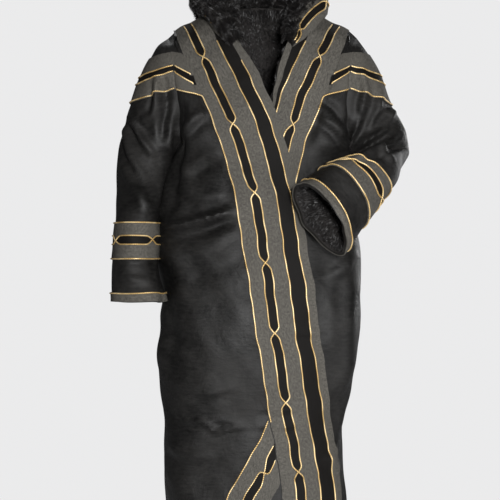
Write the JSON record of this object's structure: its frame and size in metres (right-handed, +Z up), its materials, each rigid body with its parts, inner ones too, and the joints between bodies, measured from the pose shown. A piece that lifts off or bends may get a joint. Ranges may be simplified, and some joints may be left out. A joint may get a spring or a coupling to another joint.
{
  "type": "farwa cloak",
  "caption": "Wrap-over winter cloak, worn hollow: long fronts and back, set-in sleeves with one bent forward, woven bands with gold cords, and a turned-over fur collar.",
  "frame": {"origin": "centre of the neck opening, at the height where the collar is sewn on, where the wearer's shoulders carry the cloak", "axes": "+Z up along the standing wearer, -Y the front of the cloak, -X the wearer's right side"},
  "size_m": [0.6407, 0.4271, 1.4943],
  "materials": {
    "black_cloth": "soft black cloth with a short nap",
    "grey_band": "dark grey heathered woven band with black strips",
    "gold_cord": "twisted gold metal thread cord",
    "black_fur": "dense black fur"
  },
  "bodies": {
    "root": {"back": "black_cloth", "front_right": "black_cloth", "front_left": "black_cloth", "sleeve_right": "black_cloth", "sleeve_left": "black_cloth", "collar": "black_fur", "collar_border": "grey_band", "front_band_right": "grey_band", "front_band_left": "grey_band", "shoulder_band_right": "grey_band", "shoulder_band_left": "grey_band", "sleeve_top_band_right": "grey_band", "sleeve_top_band_left": "grey_band", "forearm_band_right": "grey_band", "forearm_band_left": "grey_band", "cuff_band_right": "grey_band", "cuff_band_left": "grey_band", "lower_band_right": "grey_band", "piping_inner_right": "gold_cord", "piping_middle_right": "gold_cord", "piping_middle_left": "gold_cord", "piping_outer_right": "gold_cord", "piping_outer_left": "gold_cord", "piping_lower": "gold_cord", "piping_sleeve_top_right": "gold_cord", "piping_sleeve_top_left": "gold_cord", "piping_forearm_top_right": "gold_cord", "piping_forearm_top_left": "gold_cord", "piping_forearm_bottom_right": "gold_cord", "piping_forearm_bottom_left": "gold_cord", "piping_cuff_right": "gold_cord", "piping_cuff_left": "gold_cord", "chain_right_1": "gold_cord", "chain_right_2": "gold_cord", "chain_left_1": "gold_cord", "chain_left_2": "gold_cord", "chain_lower_1": "gold_cord", "chain_lower_2": "gold_cord", "chain_forearm_right_1": "gold_cord", "chain_forearm_right_2": "gold_cord", "chain_forearm_left_1": "gold_cord", "chain_forearm_left_2": "gold_cord", "cord_shoulder_low_right": "gold_cord", "cord_shoulder_high_right": "gold_cord", "cord_shoulder_low_left": "gold_cord", "cord_shoulder_high_left": "gold_cord", "cord_sleeve_top_low_right": "gold_cord", "cord_sleeve_top_high_right": "gold_cord", "cord_sleeve_top_low_left": "gold_cord", "cord_sleeve_top_high_left": "gold_cord", "cord_collar_inner": "gold_cord", "cord_collar_outer": "gold_cord"}
  },
  "joints": []
}
